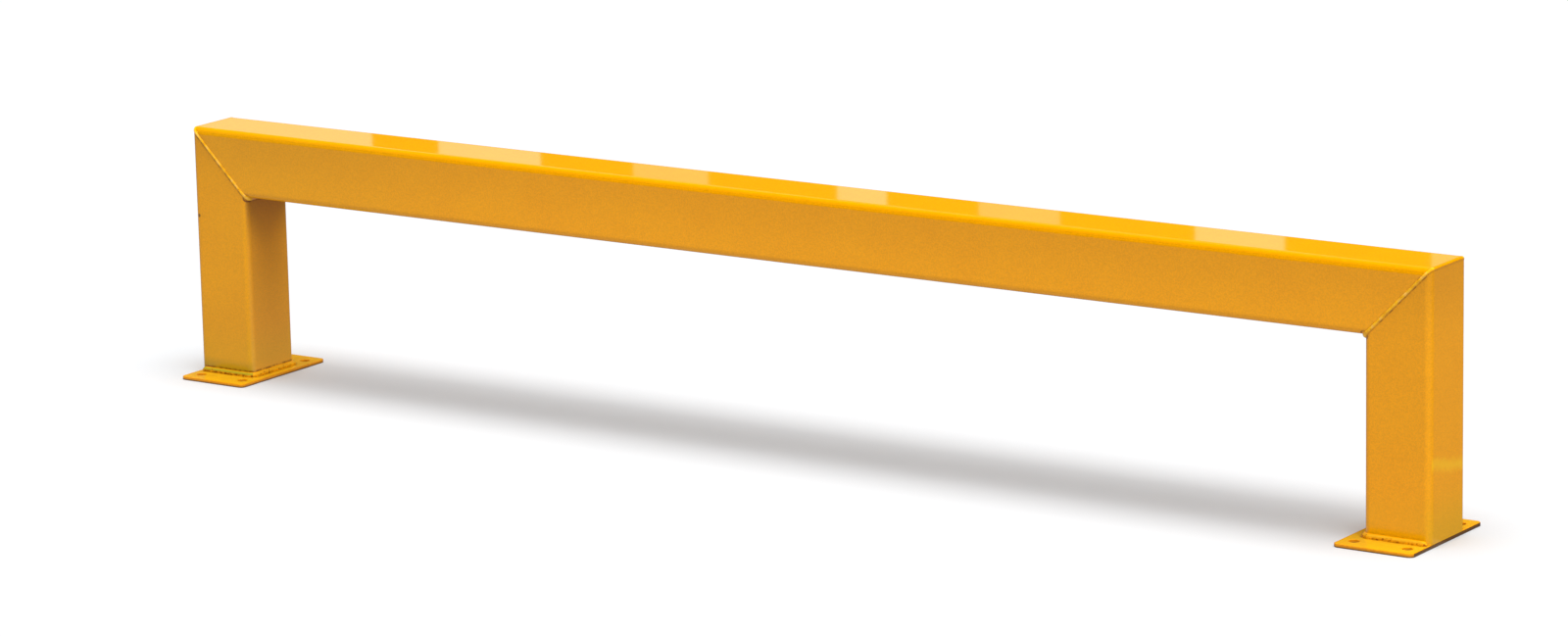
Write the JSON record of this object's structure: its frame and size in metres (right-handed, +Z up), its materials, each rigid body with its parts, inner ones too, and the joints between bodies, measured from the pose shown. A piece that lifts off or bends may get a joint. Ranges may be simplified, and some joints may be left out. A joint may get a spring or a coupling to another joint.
{
  "type": "low level protection barrier",
  "caption": "Welded low goalpost barrier of square box section, with mitred corners and two drilled base plates, to keep wheels off walls and racking.",
  "frame": {"origin": "on the floor, midway between the two posts and midway through their depth", "axes": "+X along the rail, +Y away from the front face, +Z up"},
  "size_m": [2.1002, 0.2, 0.3801],
  "materials": {
    "coated_steel": "glossy yellow powder coat",
    "coated_plate": "glossy yellow powder coat",
    "coated_weld": "glossy yellow powder coat over weld metal"
  },
  "bodies": {
    "root": {"top_rail": "coated_steel", "left_post": "coated_steel", "right_post": "coated_steel", "left_base_plate": "coated_plate", "right_base_plate": "coated_plate", "left_mitre_weld_front": "coated_weld", "left_mitre_weld_back": "coated_weld", "left_mitre_weld_outer": "coated_weld", "left_mitre_weld_inner": "coated_weld", "right_mitre_weld_front": "coated_weld", "right_mitre_weld_back": "coated_weld", "right_mitre_weld_outer": "coated_weld", "right_mitre_weld_inner": "coated_weld", "left_foot_weld_front": "coated_weld", "left_foot_weld_inner": "coated_weld", "left_foot_weld_back": "coated_weld", "right_foot_weld_front": "coated_weld", "right_foot_weld_inner": "coated_weld", "right_foot_weld_back": "coated_weld"}
  },
  "joints": []
}
